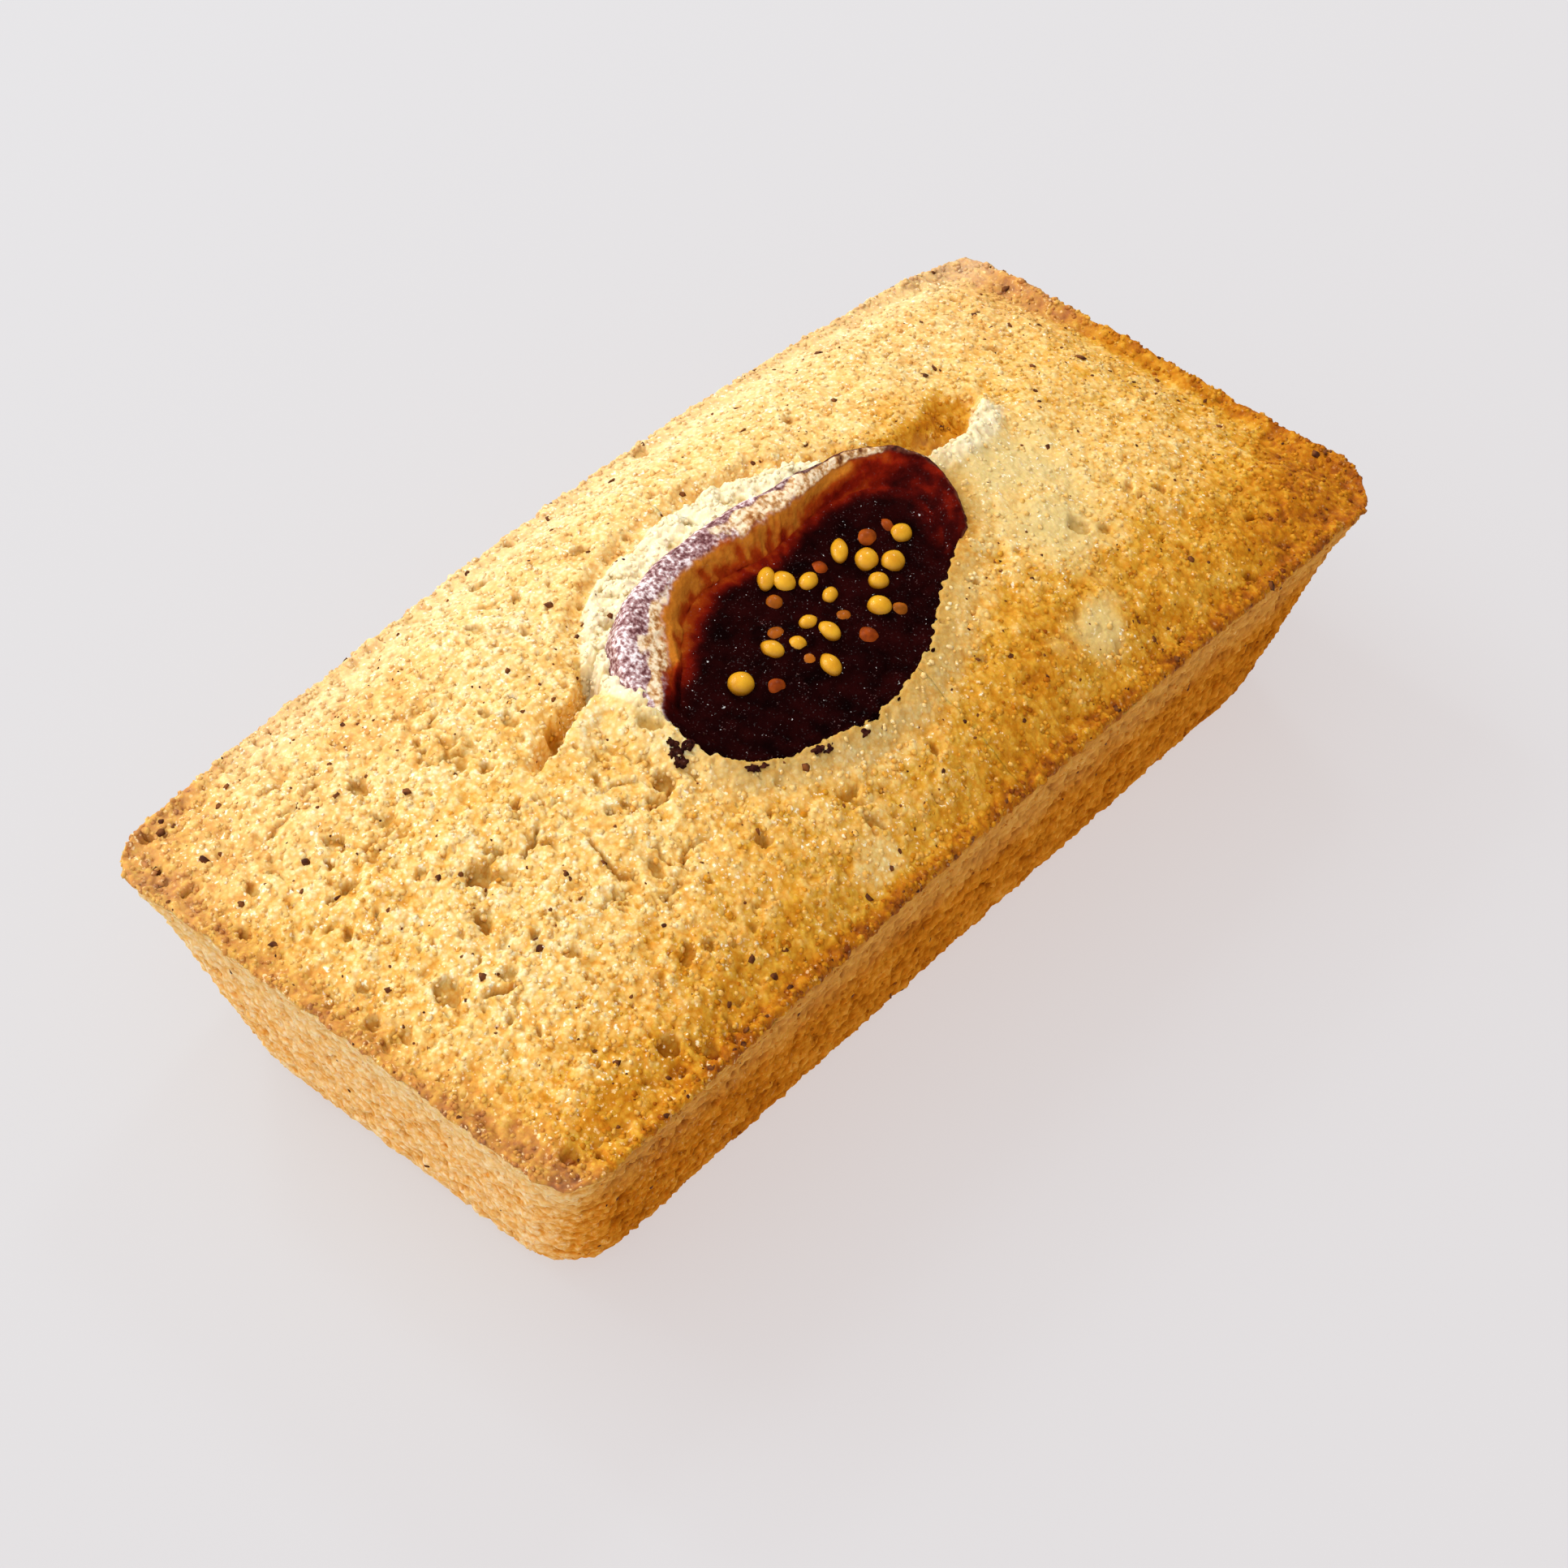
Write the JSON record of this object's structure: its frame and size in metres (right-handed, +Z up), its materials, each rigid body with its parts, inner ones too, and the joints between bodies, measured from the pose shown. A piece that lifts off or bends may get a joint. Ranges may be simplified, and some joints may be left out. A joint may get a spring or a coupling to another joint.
{
  "type": "financier cake",
  "caption": "Small oblong almond cake with sloping moulded sides, a domed cracked top and a fig half baked into the middle.",
  "frame": {"origin": "middle of the flat base that the cake rests on", "axes": "+X along the cake's length, +Y across it towards the side where the fig's skin stands up, +Z up"},
  "size_m": [0.085, 0.038, 0.0238],
  "materials": {
    "crumb": "golden baked crumb, browned along the rim, dry and porous",
    "fig": "baked fig, wet dark flesh with golden seeds inside a purple-brown skin"
  },
  "bodies": {
    "root": {"cake": "crumb", "fig_half": "fig"}
  },
  "joints": []
}
